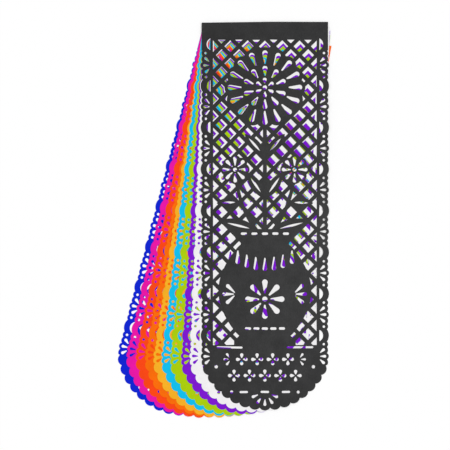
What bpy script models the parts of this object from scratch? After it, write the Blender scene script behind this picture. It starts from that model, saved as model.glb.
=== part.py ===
"""Papel picado banner pack: ten sheets of cut paper, fanned out flat on a table.

Each sheet is half of a 20 x 30 inch sheet of coloured craft paper, cut lengthwise. A plain header is
left at the top for the string, both long edges and the round foot are scalloped, and the inside is
chiselled out: a lace border, a diamond lattice round a pot of flowers, and flower sprigs in the foot.
All ten are cut together, so they are alike. The black sheet on top carries every cut here. The nine
below it show little more than an edge, so they share one mesh with fewer points and fewer cuts.

A sheet is drawn with x across from its centre line and y up from its top edge, so its foot is at
negative y. The model's origin is the point that the fan turns about, on the table under the headers.
"""

import math

import bmesh
import bpy

# Paper
PAPER_THICKNESS = 0.0001
SHEET_GAP = 0.0003  # loose sheets lie this far apart
SHEET_LENGTH = 0.758
NOTCH_HALF_WIDTH = 0.121  # the long edges, at the notches between their scallops
PAPER_ROUGHNESS = 0.85

# Outline
HEADER_HEIGHT = 0.035
HEADER_STEP = 0.002  # how far the header's sides stand out from the notches
LARGE_RISE = 0.004  # how far a large scallop stands out from its notches
SMALL_RISE = 0.0023
FOOT_OVERHANG = 0.0055  # by how much the foot's radius is larger than the notches' half width
FOOT_INSET = 0.0024  # how far inside the long edges the foot's arc begins
FOOT_RISE = 0.0055
FOOT_SCALLOPS = 15

# Lace border
BORDER_WIDTH = 0.020  # from the notches to the inner field
FIRST_CRESCENT = 0.009  # below the header
DOT_CHORD = 0.0105
PETAL_CHORD = 0.012
CRESCENT_CHORD = 0.024
CRESCENT_INSET = 0.015  # from the notches to the crescents' straight side
CRESCENT_LENGTH = 0.0225
CRESCENT_WIDTH = 0.0074
BORDER_DOT_INSET = 0.006
BORDER_DOT_RADIUS = 0.0028
FAN_INSET = 0.0135
FAN_LENGTH = 0.0125
FAN_WIDTH = 0.0058
FAN_ANGLE = math.radians(42)
FAN_ROOT_SPREAD = 0.0064

# Lattice
FIELD_END = 0.004  # how far below the foot's centre the inner field ends
LATTICE_COLUMNS = 6  # half cells from the centre line to the field's edge
LATTICE_ROW = 0.017
LATTICE_PHASE = 0.0128  # from the header to the first row's centres
LATTICE_OPEN = 0.68  # share of a cell's diagonals that is cut out
LATTICE_SCRAP = 0.2  # what is left of a cell stays paper below this share of a whole one
SHORTEST_EDGE = 0.0005

# Petals, wherever they stand in a ring or a fan
PETAL_FILL = 0.36  # share of the room at its far end that a petal takes

# Great flower: a ring is how many petals, and its share of the depth between rim and eye
BLOOM_DROP = 0.013  # from the header to the flower
BLOOM_RADIUS = 0.080
BLOOM_SCALLOPS = 16
BLOOM_RIM = 0.0075
BLOOM_WEB = 0.0035
BLOOM_EYE = 0.0042
BLOOM_RINGS = ((16, 0.46), (10, 0.34), (6, 0.20))
SCALLOP_DEPTH = 0.22  # share of a flower scallop's chord

# Two small flowers, to the sides below it
BUD_ACROSS = 0.058
BUD_DROP = 0.050
BUD_RADIUS = 0.030
BUD_SCALLOPS = 8
BUD_RIM = 0.0048
BUD_WEB = 0.0035
BUD_EYE = 0.0038
BUD_RINGS = ((8, 1.0),)

# Stems and leaves, with heights above the pot
STEM_HALF_WIDTH = 0.0038
SIDE_STEM_HALF_WIDTH = 0.0034
SIDE_STEM_FOOT = 0.010
SIDE_STEM_BEND = (0.052, 0.036)
VEIN_WIDTH = 0.0044
VEIN_START = 0.24  # shares of the leaf's length
VEIN_END = 0.80
# Root across, root height, angle, length, width
LEAVES = (
    (0.0, 0.142, math.radians(48), 0.058, 0.020),
    (0.0, 0.059, math.radians(56), 0.062, 0.021),
    (0.046, 0.052, math.radians(-2), 0.048, 0.020),
    (0.010, -0.004, math.radians(14), 0.082, 0.026),
)

# Flower pot
POT_HEIGHT = 0.226
RIM_HEIGHT = 0.018
RIM_HALF_WIDTH = 0.058
NECK_HEIGHT = 0.012
NECK_HALF_WIDTH = 0.047
BELLY_SWELL = 0.042
BELLY_FULLNESS = 0.85  # the smaller, the squarer the belly
POT_FOOT_HEIGHT = 0.018
POT_FOOT_HALF_WIDTH = 0.050
POT_FOOT_SPREAD = 0.010
SLITS = 5
SLIT_LENGTH = 0.0120
SLIT_WIDTH = 0.0050
SLIT_MARGIN = 0.011  # from the ends of a row of slits to the pot's side
BASE_LINE = 0.014  # of the lower row of slits, above the pot's foot
DROPS = 7
DROP_MARGIN = 0.012  # from the belly's top to the outer drops
DROP_OUTREACH = 0.006  # how much further out than the neck the outer drops hang
DROP_SAG = 0.014  # how much lower the middle drop hangs
DROP_LENGTH = 0.026
DROP_WIDTH = 0.0092
POT_ROSETTE_MARGIN = 0.0165  # to the drops above it and the slits below it
POT_ROSETTE_WEB = 0.0058
POT_ROSETTE_EYE = 0.0052
POT_ROSETTE_RINGS = ((8, 1.0),)
POT_FAN_PETALS = 3
POT_FAN_RADIUS = 0.0265
POT_FAN_HUB = 0.004
POT_FAN_ANGLE = math.radians(44)
POT_FAN_MARGIN = 0.008  # to the widest part of the belly
POT_FAN_RISE = 0.010  # above the middle of the rosette

# Foot
FOOT_SLIT_DROP = 0.0085  # below the foot's centre
FOOT_SLIT_INNER = 0.043
FOOT_SLIT_MARGIN = 0.007  # inside the field's edge
FOOT_SLIT_WIDTH = 0.004
SPRAY_INSET = 0.055  # from the notches
SPRAY_PETALS = 3
SPRAY_RADIUS = 0.0145
SPRAY_HUB = 0.0045
SPRAY_ANGLE = math.radians(52)
ROSETTE_ROWS = (4, 5)
ROSETTE_PETALS = 4
ROSETTE_CLEARANCE = 0.006  # from the first row's room to the sprays' middles
ROSETTE_FILL = 0.39  # a rosette's radius as a share of the spacing
ROSETTE_HUB = 0.0022
OUTER_DOT_ANGLE = math.radians(26.2)  # below the horizontal
OUTER_DOT_INSET = 0.021  # from the foot's notches
OUTER_DOT_RADIUS = 0.0033
DASH_RISE = 0.0365  # above the foot's lowest point
DASH_SPACING = 0.041
DASH_LENGTH = 0.0165
DASH_WIDTH = 0.0043
DASH_DOT_GAP = 0.0157  # from the end of the last dash
DASH_DOT_RADIUS = 0.0030
SUN_PETALS = 5
SUN_RADIUS = 0.0275
SUN_HUB = 0.0140
SUN_ANGLE = math.radians(34)

# Fan, from the top of the pack down: name, linear colour, clockwise turn in degrees,
# slide across and up
PIVOT_FROM_SIDE = 0.010
SHEETS = (
    ("black", (0.045, 0.045, 0.045), 0.0, (0.0, 0.0)),
    ("white", (0.84, 0.83, 0.84), 2.3, (0.0030, 0.0001)),
    ("purple", (0.20, 0.012, 0.61), 3.85, (0.0036, -0.0012)),
    ("lime", (0.40, 0.61, 0.002), 5.8, (0.0038, -0.0023)),
    ("cyan", (0.004, 0.51, 0.83), 7.05, (0.0009, -0.0020)),
    ("amber", (0.91, 0.43, 0.020), 8.55, (0.0018, -0.0039)),
    ("orange", (0.94, 0.15, 0.001), 10.55, (0.0077, -0.0032)),
    ("vermilion", (0.94, 0.065, 0.008), 11.7, (0.0024, -0.0042)),
    ("magenta", (0.81, 0.013, 0.42), 13.1, (0.0, -0.0027)),
    ("blue", (0.010, 0.027, 0.63), 14.6, (0.0001, -0.0020)),
)

# How finely round shapes are drawn
SCALLOP_SIDES = 2
CRESCENT_SIDES = 3
PETAL_SIDES = 2  # of a petal's far end
SMALL_PETAL_SIDES = 1
SLIT_END_SIDES = 3
DOT_SIDES = 5
SMALL_DOT_SIDES = 4
VEIN_SIDES = 2
SILHOUETTE_SIDES = 3

# Guides
GUIDE_HALF_HEIGHT = 0.001
CAP_WELD = 0.00001
SMALLEST_CUT = 0.0022  # the side of a square as large

# Sizes that follow from those above
HEADER_HALF_WIDTH = NOTCH_HALF_WIDTH + HEADER_STEP
FIELD_HALF_WIDTH = NOTCH_HALF_WIDTH - BORDER_WIDTH
FOOT_RADIUS = NOTCH_HALF_WIDTH + FOOT_OVERHANG
FOOT_LEVEL = -(SHEET_LENGTH - FOOT_RADIUS - FOOT_RISE)  # of the foot's centre
FOOT_START = math.acos(min(1.0, (NOTCH_HALF_WIDTH - FOOT_INSET) / FOOT_RADIUS))
FIELD_BOTTOM = FOOT_LEVEL - FIELD_END
BLOOM_LEVEL = -(HEADER_HEIGHT + BLOOM_DROP + BLOOM_RADIUS)
BUD_LEVEL = BLOOM_LEVEL - BLOOM_RADIUS - BUD_DROP - BUD_RADIUS
POT_TOP = FIELD_BOTTOM + POT_HEIGHT
BELLY_TOP = POT_TOP - RIM_HEIGHT - NECK_HEIGHT
BELLY_BOTTOM = FIELD_BOTTOM + POT_FOOT_HEIGHT


# Shapes, each a list of points round a closed outline


def polar(centre, angle, radius):
    return (centre[0] + radius * math.cos(angle), centre[1] + radius * math.sin(angle))


def mirrored(points):
    return [(-x, y) for x, y in reversed(points)]


def both_sides(shapes):
    return shapes + [mirrored(shape) for shape in shapes]


def row_of(count, spacing):
    """The places of a row's copies about its middle."""
    return [(i - (count - 1) / 2) * spacing for i in range(count)]


def bow(start, end, rise, sides):
    """An arc that stands out to the left of the way from start to end. The end itself is left out."""
    chord = math.dist(start, end)
    dx, dy = (end[0] - start[0]) / chord, (end[1] - start[1]) / chord
    radius = (chord * chord / 4 + rise * rise) / (2 * rise)
    points = [start]
    for i in range(1, sides):
        along = chord * i / sides
        out = math.sqrt(radius**2 - (along - chord / 2) ** 2) - (radius - rise)
        points.append((start[0] + along * dx - out * dy, start[1] + along * dy + out * dx))
    return points


def dot(centre, radius, sides=DOT_SIDES):
    return [polar(centre, math.tau * (i + 0.5) / sides, radius) for i in range(sides)]


def petal(root, angle, length, width, sides=PETAL_SIDES):
    """A drop with its point at the root and a round far end."""
    radius = width / 2
    centre = polar(root, angle, length - radius)
    turn = math.pi / 2 + math.asin(radius / (length - radius))
    return [root] + [polar(centre, angle + turn * (2 * i / sides - 1), radius) for i in range(sides + 1)]


def lens(start, end, width, sides):
    """A leaf with a point at each end."""
    return bow(start, end, width / 2, sides) + bow(end, start, width / 2, sides)


def slit(centre, length, width):
    """A level slit with round ends."""
    points = []
    for side in (0, math.pi):
        end = polar(centre, side, (length - width) / 2)
        turns = [math.pi * ((i + 0.5) / SLIT_END_SIDES - 0.5) for i in range(SLIT_END_SIDES)]
        points += [polar(end, side + turn, width / 2) for turn in turns]
    return points


def fan(centre, count, hub, radius, middle, spread, sides=PETAL_SIDES):
    """Petals about a middle direction, this far apart, from the hub's edge out to the radius."""
    width = PETAL_FILL * spread * radius
    angles = [middle + place for place in row_of(count, spread)]
    return [petal(polar(centre, angle, hub), angle, radius - hub, width, sides) for angle in angles]


def ring(centre, count, hub, radius, sides=PETAL_SIDES):
    """Petals in a full circle, the first one straight up."""
    spread = math.tau / count
    return fan(centre, count, hub, radius, math.pi / 2 + spread * (count - 1) / 2, spread, sides)


def flower(centre, radius, rings, web, eye, sides=PETAL_SIDES):
    """Rings of petals, worked inwards, round an eye."""
    cuts = [dot(centre, eye)]
    depth = radius - eye - web * len(rings)
    for count, share in rings:
        cuts += ring(centre, count, radius - share * depth, radius, sides)
        radius -= share * depth + web
    return cuts


def scalloped_disc(centre, radius, scallops):
    rise = SCALLOP_DEPTH * math.tau * radius / scallops
    inner = radius - rise
    notches = [polar(centre, -math.tau * (i + 0.5) / scallops, inner) for i in range(scallops + 1)]
    points = []
    for start, end in zip(notches, notches[1:]):
        points += bow(start, end, rise, SILHOUETTE_SIDES)
    return points


def stalk(start, bend, end, half_width, steps):
    """A curved strip from start to end, drawn towards bend on the way."""
    left, right = [], []
    for i in range(steps + 1):
        t = i / steps
        x, y = ((1 - t) ** 2 * a + 2 * t * (1 - t) * b + t**2 * c for a, b, c in zip(start, bend, end))
        dx, dy = ((1 - t) * (b - a) + t * (c - b) for a, b, c in zip(start, bend, end))
        scale = half_width / math.hypot(dx, dy)
        left.append((x - dy * scale, y + dx * scale))
        right.append((x + dy * scale, y - dx * scale))
    return right + left[::-1]


def clipped(points, axis, limit, side):
    """The part of a convex outline whose coordinate doesn't pass the limit, on this side of it."""
    kept = []
    for a, b in zip(points, points[1:] + points[:1]):
        room_a, room_b = side * (limit - a[axis]), side * (limit - b[axis])
        if room_a >= 0:
            kept.append(a)
        if room_a * room_b < 0:
            t = room_a / (room_a - room_b)
            kept.append((a[0] + t * (b[0] - a[0]), a[1] + t * (b[1] - a[1])))
    return kept


# Outline and lace border


def side_bumps():
    """The scallops down a long edge as (kind, top, bottom), fitted between the header and the foot."""
    unit = [
        ("dot", DOT_CHORD),
        ("upper", PETAL_CHORD),
        ("middle", PETAL_CHORD),
        ("lower", PETAL_CHORD),
        ("dot", DOT_CHORD),
        ("crescent", CRESCENT_CHORD),
    ]
    pitch = sum(chord for _, chord in unit)
    left_off = DOT_CHORD + CRESCENT_CHORD  # the last fan meets the foot
    y = -(HEADER_HEIGHT + FIRST_CRESCENT + CRESCENT_CHORD / 2)
    run = y - polar((0.0, FOOT_LEVEL), -FOOT_START, FOOT_RADIUS)[1]
    count = max(1, round((run + left_off) / pitch))
    stretch = run / (count * pitch - left_off)
    bumps = []
    for kind, chord in (unit * count)[:-2]:
        bumps.append((kind, y, y - chord * stretch))
        y -= chord * stretch
    return bumps


def merged(bumps):
    """The same edge with each fan and its dots under one long scallop."""
    groups = []
    for kind, top, bottom in bumps:
        if kind == "crescent":
            groups.append((kind, top, bottom))
        elif groups and groups[-1][0] == "middle":
            groups[-1] = ("middle", groups[-1][1], bottom)
        else:
            groups.append(("middle", top, bottom))
    return groups


def outline(bumps):
    """The sheet's edge, clockwise from the header's left end."""
    header = [(-HEADER_HALF_WIDTH, 0.0), (HEADER_HALF_WIDTH, 0.0), (HEADER_HALF_WIDTH, bumps[0][1])]
    side = []
    for kind, top, bottom in bumps:
        rise = LARGE_RISE if kind in ("middle", "crescent") else SMALL_RISE
        side += bow((NOTCH_HALF_WIDTH, top), (NOTCH_HALF_WIDTH, bottom), rise, SCALLOP_SIDES)
    sweep = (math.pi - 2 * FOOT_START) / FOOT_SCALLOPS
    centre = (0.0, FOOT_LEVEL)
    notches = [polar(centre, -FOOT_START - sweep * i, FOOT_RADIUS) for i in range(FOOT_SCALLOPS + 1)]
    foot = []
    for start, end in zip(notches, notches[1:]):
        foot += bow(start, end, FOOT_RISE, SCALLOP_SIDES)
    return header + side + foot + [notches[-1]] + mirrored(side) + [(-HEADER_HALF_WIDTH, bumps[0][1])]


def crescent(y):
    x = NOTCH_HALF_WIDTH - CRESCENT_INSET
    top, bottom = (x, y + CRESCENT_LENGTH / 2), (x, y - CRESCENT_LENGTH / 2)
    return bow(top, bottom, CRESCENT_WIDTH, CRESCENT_SIDES) + [bottom]


def border_cuts():
    """A crescent inside each long scallop, a dot or a petal of a fan inside each short one."""
    lean = {"upper": 1, "middle": 0, "lower": -1}
    cuts = [crescent(-(HEADER_HEIGHT + FIRST_CRESCENT))]
    for kind, top, bottom in side_bumps():
        y = (top + bottom) / 2
        if kind == "crescent":
            cuts.append(crescent(y))
        elif kind == "dot":
            cuts.append(dot((NOTCH_HALF_WIDTH - BORDER_DOT_INSET, y), BORDER_DOT_RADIUS, SMALL_DOT_SIDES))
        else:
            away = lean[kind]
            root = (NOTCH_HALF_WIDTH - FAN_INSET, y + away * (FAN_ROOT_SPREAD - PETAL_CHORD))
            cuts.append(petal(root, away * FAN_ANGLE, FAN_LENGTH, FAN_WIDTH, SMALL_PETAL_SIDES))
    return both_sides(cuts)


# The inner field: a lattice, and what stands in front of it


def lattice_cells():
    """The diamonds of the lattice, cut off at the edges of the field."""
    half_x = FIELD_HALF_WIDTH / LATTICE_COLUMNS
    dx, dy = half_x * LATTICE_OPEN, LATTICE_ROW * LATTICE_OPEN
    first = -(HEADER_HEIGHT + LATTICE_PHASE)
    edges = (
        (0, FIELD_HALF_WIDTH, 1),
        (0, -FIELD_HALF_WIDTH, -1),
        (1, -HEADER_HEIGHT, 1),
        (1, FIELD_BOTTOM, -1),
    )
    cells = []
    for row in range(-1, math.ceil((first - FIELD_BOTTOM) / LATTICE_ROW) + 1):
        y = first - row * LATTICE_ROW
        for column in range(-LATTICE_COLUMNS, LATTICE_COLUMNS + 1):
            if (row + column) % 2:
                continue
            x = column * half_x
            cell = [(x + dx, y), (x, y + dy), (x - dx, y), (x, y - dy)]
            for axis, limit, side in edges:
                cell = clipped(cell, axis, limit, side)
            if len(cell) > 2:
                cells.append(cell)
    return cells


def pot_outline():
    """The pot, from its rim down to the end of the field."""
    neck = POT_TOP - RIM_HEIGHT - NECK_HEIGHT / 2
    side = [(RIM_HALF_WIDTH, POT_TOP), (RIM_HALF_WIDTH, POT_TOP - RIM_HEIGHT), (NECK_HALF_WIDTH, neck)]
    steps = 3 * SILHOUETTE_SIDES
    for i in range(steps + 1):
        t = i / steps
        width = NECK_HALF_WIDTH + t * (POT_FOOT_HALF_WIDTH - NECK_HALF_WIDTH)
        width += BELLY_SWELL * max(math.sin(math.pi * t), 0.0) ** BELLY_FULLNESS
        side.append((width, BELLY_TOP + t * (BELLY_BOTTOM - BELLY_TOP)))
    spread = POT_FOOT_HALF_WIDTH + POT_FOOT_SPREAD
    side += [(spread, BELLY_BOTTOM - POT_FOOT_SPREAD), (spread, FIELD_BOTTOM - LATTICE_ROW)]
    return side + mirrored(side)


def on_leaf(leaf, share):
    """The point on a leaf's middle line at this share of its length."""
    across, height, angle, length, _ = leaf
    return polar((across, POT_TOP + height), angle, length * share)


def foliage():
    """Stems and leaves: what the lattice stops at, and the leaves' veins."""
    rim = POT_TOP - RIM_HEIGHT / 2
    bend = (SIDE_STEM_BEND[0], POT_TOP + SIDE_STEM_BEND[1])
    steps = 2 * SILHOUETTE_SIDES
    stem = stalk((0.0, rim), (0.0, (rim + BLOOM_LEVEL) / 2), (0.0, BLOOM_LEVEL), STEM_HALF_WIDTH, 1)
    right = [stalk((SIDE_STEM_FOOT, rim), bend, (BUD_ACROSS, BUD_LEVEL), SIDE_STEM_HALF_WIDTH, steps)]
    right += [lens(on_leaf(leaf, 0), on_leaf(leaf, 1), leaf[4], steps) for leaf in LEAVES]
    veins = [
        lens(on_leaf(leaf, VEIN_START), on_leaf(leaf, VEIN_END), VEIN_WIDTH, VEIN_SIDES)
        for leaf in LEAVES
    ]
    return [stem] + both_sides(right), both_sides(veins)


def pot_cuts():
    rim, base = POT_TOP - RIM_HEIGHT / 2, BELLY_BOTTOM + BASE_LINE
    cuts = []
    for y, half_width in ((rim, RIM_HALF_WIDTH), (base, POT_FOOT_HALF_WIDTH)):
        spacing = (2 * (half_width - SLIT_MARGIN) - SLIT_LENGTH) / (SLITS - 1)
        cuts += [slit((x, y), SLIT_LENGTH, SLIT_WIDTH) for x in row_of(SLITS, spacing)]
    reach = NECK_HALF_WIDTH + DROP_OUTREACH
    for x in row_of(DROPS, 2 * reach / (DROPS - 1)):
        y = BELLY_TOP - DROP_MARGIN - DROP_SAG * (1 - (x / reach) ** 2)
        cuts.append(petal((x, y), -math.pi / 2, DROP_LENGTH, DROP_WIDTH))
    top = BELLY_TOP - DROP_MARGIN - DROP_SAG - DROP_LENGTH
    bottom = base + SLIT_WIDTH / 2
    middle = (top + bottom) / 2
    radius = (top - bottom) / 2 - POT_ROSETTE_MARGIN
    cuts += flower((0.0, middle), radius, POT_ROSETTE_RINGS, POT_ROSETTE_WEB, POT_ROSETTE_EYE)
    widest = (NECK_HALF_WIDTH + POT_FOOT_HALF_WIDTH) / 2 + BELLY_SWELL
    hinge = (widest - POT_FAN_MARGIN - POT_FAN_RADIUS, middle + POT_FAN_RISE)
    return cuts + both_sides(fan(hinge, POT_FAN_PETALS, POT_FAN_HUB, POT_FAN_RADIUS, 0.0, POT_FAN_ANGLE))


def field_layers():
    """From front to back: name, what stays paper, its cuts, and the area of the smallest cut."""
    bloom, bud = (0.0, BLOOM_LEVEL), (BUD_ACROSS, BUD_LEVEL)
    bloom_cuts = flower(bloom, BLOOM_RADIUS - BLOOM_RIM, BLOOM_RINGS, BLOOM_WEB, BLOOM_EYE)
    bud_cuts = flower(bud, BUD_RADIUS - BUD_RIM, BUD_RINGS, BUD_WEB, BUD_EYE, SMALL_PETAL_SIDES)
    bud_discs = both_sides([scalloped_disc(bud, BUD_RADIUS, BUD_SCALLOPS)])
    stems_and_leaves, veins = foliage()
    smallest = SMALLEST_CUT**2
    scrap = LATTICE_SCRAP * 2 * FIELD_HALF_WIDTH / LATTICE_COLUMNS * LATTICE_ROW * LATTICE_OPEN**2
    return (
        ("pot", [pot_outline()], pot_cuts(), smallest),
        ("bloom", [scalloped_disc(bloom, BLOOM_RADIUS, BLOOM_SCALLOPS)], bloom_cuts, smallest),
        ("buds", bud_discs, both_sides(bud_cuts), smallest),
        ("foliage", stems_and_leaves, veins, smallest),
        ("lattice", [], lattice_cells(), scrap),
    )


# Foot


def foot_cuts():
    depth = FOOT_RADIUS + FOOT_RISE
    spray = NOTCH_HALF_WIDTH - SPRAY_INSET
    spacing = 2 * (spray - ROSETTE_CLEARANCE) / ROSETTE_ROWS[0]
    row_gap = (depth - DASH_RISE) / (len(ROSETTE_ROWS) + 1)
    cuts = []
    for row, count in enumerate(ROSETTE_ROWS, 1):
        for x in row_of(count, spacing):
            middle = (x, FOOT_LEVEL - row * row_gap)
            radius = ROSETTE_FILL * spacing
            cuts += ring(middle, ROSETTE_PETALS, ROSETTE_HUB, radius, SMALL_PETAL_SIDES)
    dash = DASH_RISE - SHEET_LENGTH
    cuts += [slit((x, dash), DASH_LENGTH, DASH_WIDTH) for x in row_of(3, DASH_SPACING)]
    cuts += fan((0.0, dash), SUN_PETALS, SUN_HUB, SUN_RADIUS, -math.pi / 2, SUN_ANGLE, SMALL_PETAL_SIDES)

    middle = (spray, FOOT_LEVEL - row_gap)
    right = fan(middle, SPRAY_PETALS, SPRAY_HUB, SPRAY_RADIUS, 0.0, SPRAY_ANGLE, SMALL_PETAL_SIDES)
    outer_dot = polar((0.0, FOOT_LEVEL), -OUTER_DOT_ANGLE, FOOT_RADIUS - OUTER_DOT_INSET)
    right.append(dot(outer_dot, OUTER_DOT_RADIUS))
    right.append(dot((DASH_SPACING + DASH_LENGTH / 2 + DASH_DOT_GAP, dash), DASH_DOT_RADIUS))
    outer = FIELD_HALF_WIDTH - FOOT_SLIT_MARGIN
    middle = ((FOOT_SLIT_INNER + outer) / 2, FOOT_LEVEL - FOOT_SLIT_DROP)
    right.append(slit(middle, outer - FOOT_SLIT_INNER, FOOT_SLIT_WIDTH))
    return cuts + both_sides(right)


# Solids


def flat_curve(name, polygons, half_height):
    """A flat outline with its holes, extruded both ways."""
    curve = bpy.data.curves.new(name, "CURVE")
    curve.dimensions = "2D"
    curve.fill_mode = "BOTH"
    curve.extrude = half_height
    for polygon in polygons:
        spline = curve.splines.new("POLY")
        spline.points.add(len(polygon) - 1)
        for point, (x, y) in zip(spline.points, polygon):
            point.co = (x, y, 0.0, 1.0)
        spline.use_cyclic_u = True
    obj = bpy.data.objects.new(name, curve)
    bpy.context.scene.collection.objects.link(obj)
    return obj


def closed_mesh(curve_object):
    """The curve's solid as a mesh whose caps are welded to its walls. The curve is removed."""
    depsgraph = bpy.context.evaluated_depsgraph_get()
    mesh = bpy.data.meshes.new_from_object(curve_object.evaluated_get(depsgraph))
    bm = bmesh.new()
    bm.from_mesh(mesh)
    bmesh.ops.remove_doubles(bm, verts=bm.verts, dist=CAP_WELD)
    bm.to_mesh(mesh)
    bm.free()
    name = curve_object.name
    solid = bpy.data.objects.new(name, mesh)
    solid.matrix_world = curve_object.matrix_world.copy()
    curve = curve_object.data
    bpy.data.objects.remove(curve_object)
    bpy.data.curves.remove(curve)
    solid.name = name
    mesh.name = name
    return solid


def guide(name, polygons, half_height, collection):
    solid = closed_mesh(flat_curve(name, polygons, half_height))
    solid.hide_render = True
    solid.display_type = "WIRE"
    collection.objects.link(solid)
    return solid


def left_open(name, cuts, in_front, smallest, collection):
    """The outlines that the solids in front leave of these cuts. Scraps stay paper."""
    front = bpy.data.collections.new(f"in_front_of_{name}")
    collection.children.link(front)
    for solid in in_front:
        front.objects.link(solid)
    cutter = guide(f"{name}_cuts", cuts, GUIDE_HALF_HEIGHT, collection)
    boolean = cutter.modifiers.new("in_front", "BOOLEAN")
    boolean.operation = "DIFFERENCE"
    boolean.solver = "EXACT"
    boolean.operand_type = "COLLECTION"
    boolean.collection = front
    depsgraph = bpy.context.evaluated_depsgraph_get()
    bm = bmesh.new()
    bm.from_mesh(cutter.evaluated_get(depsgraph).data)
    bmesh.ops.remove_doubles(bm, verts=bm.verts, dist=SHORTEST_EDGE)
    bmesh.ops.dissolve_limit(bm, angle_limit=math.radians(1), verts=bm.verts, edges=bm.edges)
    tops = [face for face in bm.faces if face.normal.z > 0.5 and face.calc_area() > smallest]
    outlines = [[vert.co.xy[:] for vert in face.verts] for face in tops]
    bm.free()
    cutter.modifiers.remove(boolean)
    return outlines


def field_cuts(collection):
    """The cuts of the inner field, each layer's without what the layers in front of it cover."""
    cuts, standing = [], []
    for name, shapes, layer_cuts, smallest in field_layers():
        cuts += left_open(name, layer_cuts, standing, smallest, collection)
        for index, shape in enumerate(shapes):
            standing.append(guide(f"{name}_{index}", [shape], 2 * GUIDE_HALF_HEIGHT, collection))
    return cuts


def from_pivot(polygons):
    """The same outlines, measured from the point that the sheets turn about."""
    x0, y0 = PIVOT_FROM_SIDE - HEADER_HALF_WIDTH, -HEADER_HEIGHT / 2
    return [[(x - x0, y - y0) for x, y in polygon] for polygon in polygons]


def paper(name, colour):
    material = bpy.data.materials.new(f"{name}_paper")
    material.use_nodes = True
    shader = material.node_tree.nodes["Principled BSDF"]
    shader.inputs["Base Color"].default_value = (*colour, 1.0)
    shader.inputs["Roughness"].default_value = PAPER_ROUGHNESS
    material.diffuse_color = (*colour, 1.0)
    return material


def build():
    for obj in list(bpy.data.objects):
        bpy.data.objects.remove(obj)
    banner = bpy.data.collections.new("papel_picado_banner")
    cutters = bpy.data.collections.new("cutters")
    for collection in (banner, cutters):
        bpy.context.scene.collection.children.link(collection)

    full = [outline(side_bumps())] + border_cuts() + field_cuts(cutters) + foot_cuts()
    plain = [outline(merged(side_bumps()))]
    top_sheet = closed_mesh(flat_curve("full_cut", from_pivot(full), PAPER_THICKNESS / 2))
    lower_sheet = closed_mesh(flat_curve("plain_cut", from_pivot(plain), PAPER_THICKNESS / 2))

    fan_pivot = bpy.data.objects.new("fan_pivot", None)
    banner.objects.link(fan_pivot)
    for index, (name, colour, turn, slide) in enumerate(SHEETS):
        pattern = lower_sheet if index else top_sheet
        below = len(SHEETS) - 1 - index
        sheet = bpy.data.objects.new(f"sheet_{name}", pattern.data)
        banner.objects.link(sheet)
        sheet.parent = fan_pivot
        sheet.location = (*slide, below * (PAPER_THICKNESS + SHEET_GAP) + PAPER_THICKNESS / 2)
        sheet.rotation_euler.z = -math.radians(turn)
        if not sheet.material_slots:
            sheet.data.materials.append(None)
        sheet.material_slots[0].link = "OBJECT"
        sheet.material_slots[0].material = paper(name, colour)
    for pattern in (top_sheet, lower_sheet):
        bpy.data.objects.remove(pattern)


build()
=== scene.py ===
import math
import random

import bmesh
import bpy
import numpy as np
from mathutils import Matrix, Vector
from mathutils.geometry import delaunay_2d_cdt


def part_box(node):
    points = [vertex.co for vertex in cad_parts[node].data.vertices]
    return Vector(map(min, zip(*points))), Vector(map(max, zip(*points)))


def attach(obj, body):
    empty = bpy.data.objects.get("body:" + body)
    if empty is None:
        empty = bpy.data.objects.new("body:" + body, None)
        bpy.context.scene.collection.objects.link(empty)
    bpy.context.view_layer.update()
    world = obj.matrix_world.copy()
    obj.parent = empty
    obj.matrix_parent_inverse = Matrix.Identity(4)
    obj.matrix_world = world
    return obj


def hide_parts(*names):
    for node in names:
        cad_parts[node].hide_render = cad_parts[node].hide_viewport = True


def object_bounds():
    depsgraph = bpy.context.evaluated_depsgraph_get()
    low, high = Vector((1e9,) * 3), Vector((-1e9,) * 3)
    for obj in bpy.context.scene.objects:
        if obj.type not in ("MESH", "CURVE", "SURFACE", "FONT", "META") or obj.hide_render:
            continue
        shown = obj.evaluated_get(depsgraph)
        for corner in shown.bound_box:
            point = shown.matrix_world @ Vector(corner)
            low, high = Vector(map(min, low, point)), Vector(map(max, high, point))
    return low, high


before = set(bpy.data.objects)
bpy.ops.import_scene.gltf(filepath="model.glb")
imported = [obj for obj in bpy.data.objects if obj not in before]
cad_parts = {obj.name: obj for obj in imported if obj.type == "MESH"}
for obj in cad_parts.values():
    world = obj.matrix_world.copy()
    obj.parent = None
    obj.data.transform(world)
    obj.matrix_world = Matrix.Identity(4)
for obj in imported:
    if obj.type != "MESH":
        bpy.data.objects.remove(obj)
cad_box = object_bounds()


# The blank: half of a 20 x 30 inch sheet of craft paper, cut lengthwise. The header stays whole, for the
# string. The long edges and the round foot are scalloped with a gouge, two sizes of scallop by turns.

sheet_low, sheet_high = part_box("sheet_black")
SHEET_LENGTH = sheet_high.y - sheet_low.y
NOTCH_HALF_WIDTH = 0.121  # the long edges, at the notches between their scallops
HEADER_HEIGHT = 0.035
HEADER_HALF_WIDTH = 0.123
HEADER_CREST = 0.012  # where its top edge is highest, right of the centre line
HEADER_SLANT = 0.0018  # how far the knife ran off the line at its left end
HEADER_SLIP = 0.0003  # the same at its right end
LARGE_RISE = 0.004  # how far a large scallop stands out from its notches
SMALL_RISE = 0.0023
RISE_SLIPS = (0.92, 1.04)  # least and most share of its rise that a scallop got
FOOT_RADIUS = 0.1265
FOOT_INSET = 0.0024  # how far inside the long edges the foot's arc begins
FOOT_RISE = 0.0055  # how far the foot's scallops stand out
FOOT_SCALLOPS = 15
FOOT_LEVEL = FOOT_RADIUS + FOOT_RISE - SHEET_LENGTH  # of the arc's centre
FOOT_START = math.acos((NOTCH_HALF_WIDTH - FOOT_INSET) / FOOT_RADIUS)  # below the horizontal

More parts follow.
